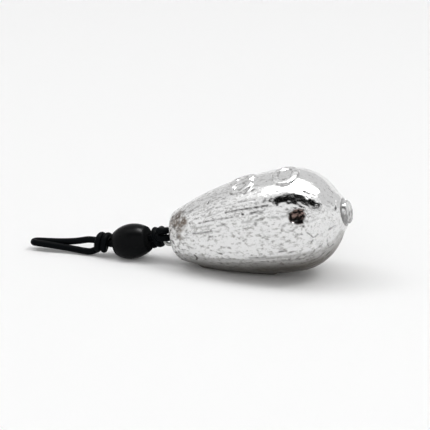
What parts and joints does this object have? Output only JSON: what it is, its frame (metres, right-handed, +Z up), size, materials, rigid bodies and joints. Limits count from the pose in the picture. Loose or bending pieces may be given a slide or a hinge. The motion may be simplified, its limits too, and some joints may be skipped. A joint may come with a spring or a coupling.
{
  "type": "fishing sinker",
  "caption": "Cast lead pear weight with a wire eye at its nose, and a knotted black cord that carries a captive barrel bead and ends in a loop for the line.",
  "frame": {"origin": "centre of the flat pad under the weight, on the table that it lies on", "axes": "+X along the weight to its fat end, +Z up; the cord and its bead lie towards -X"},
  "size_m": [0.0647, 0.0196, 0.0214],
  "materials": {
    "lead": "satin",
    "wire": "satin",
    "cord": "satin",
    "bead": "satin"
  },
  "bodies": {
    "lead": {"lead_body": "lead", "wire_eye": "wire"},
    "link": {"cord_hitch": "cord", "cord_stem": "cord", "loop_knot": "cord", "end_loop": "cord"},
    "bead": {"barrel_bead": "bead"}
  },
  "joints": [
    {"name": "hitch_swing", "type": "hinge", "parent": "lead", "child": "link", "pos_m": [-0.01533, 0, 0.00517], "axis": [-0.225, 0, 0.9744], "range_deg": [-55, 70]},
    {"name": "bead_spin", "type": "hinge", "parent": "link", "child": "bead", "pos_m": [-0.02216, 0.00098, 0.00346], "axis": [-0.9703, 0, -0.2419], "continuous": true}
  ]
}
